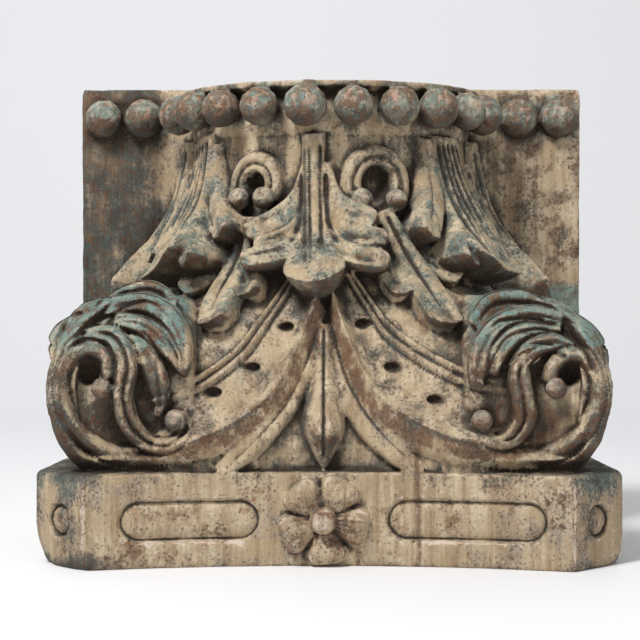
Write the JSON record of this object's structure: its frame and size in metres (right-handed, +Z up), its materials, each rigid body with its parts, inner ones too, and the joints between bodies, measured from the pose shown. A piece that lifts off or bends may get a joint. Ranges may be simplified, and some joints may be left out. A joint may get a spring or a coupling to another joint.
{
  "type": "carved half capital",
  "caption": "Carved wooden half capital with acanthus leaves, corner scrolls and a bead band, standing on its abacus with a flat board at its back",
  "frame": {"origin": "middle of the outline box, at the flat underside of the abacus", "axes": "X runs along the abacus to the right, -Y is the carved front, +Y is the flat back, Z is up"},
  "size_m": [0.46, 0.25, 0.39],
  "materials": {
    "painted_wood": "matte cream paint worn to brown wood, with dark dirt in the hollows and traces of turquoise"
  },
  "bodies": {
    "root": {"capital": "painted_wood"}
  },
  "joints": []
}
